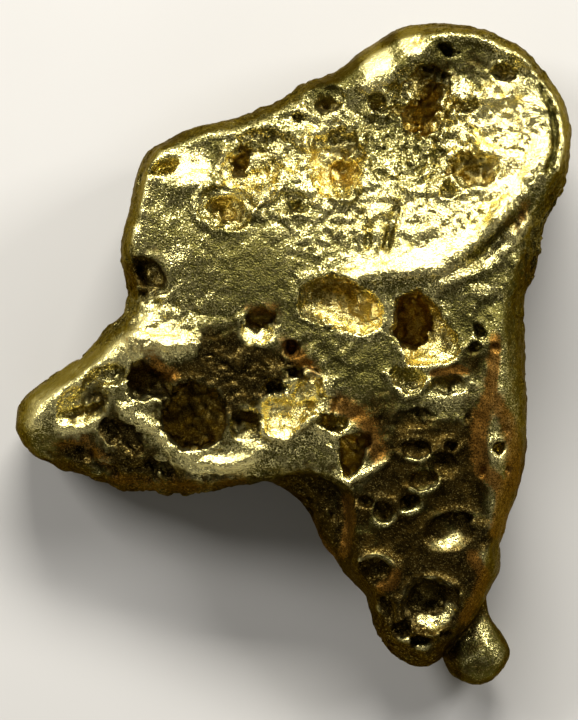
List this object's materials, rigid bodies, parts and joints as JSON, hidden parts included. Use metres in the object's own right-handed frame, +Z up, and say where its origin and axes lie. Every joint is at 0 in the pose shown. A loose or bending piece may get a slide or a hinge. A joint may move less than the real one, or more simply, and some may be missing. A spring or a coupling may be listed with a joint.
{
  "type": "gold nugget",
  "caption": "Flat water-worn gold nugget with a rounded head, a tongue and a tapering leg, pitted all over, lying with its pitted face up.",
  "frame": {"origin": "middle of the bounding box's plan, at the level of the three worn spots it lies on", "axes": "+Z up out of the pitted face, +Y along its length towards the rounded head, +X to the right as the pitted face is looked at with the head at the top"},
  "size_m": [0.0112, 0.0134, 0.0041],
  "materials": {
    "gold": "dull worn native gold, bright on the high spots, brown iron stain in the pits"
  },
  "bodies": {
    "root": {"nugget": "gold"}
  },
  "joints": []
}
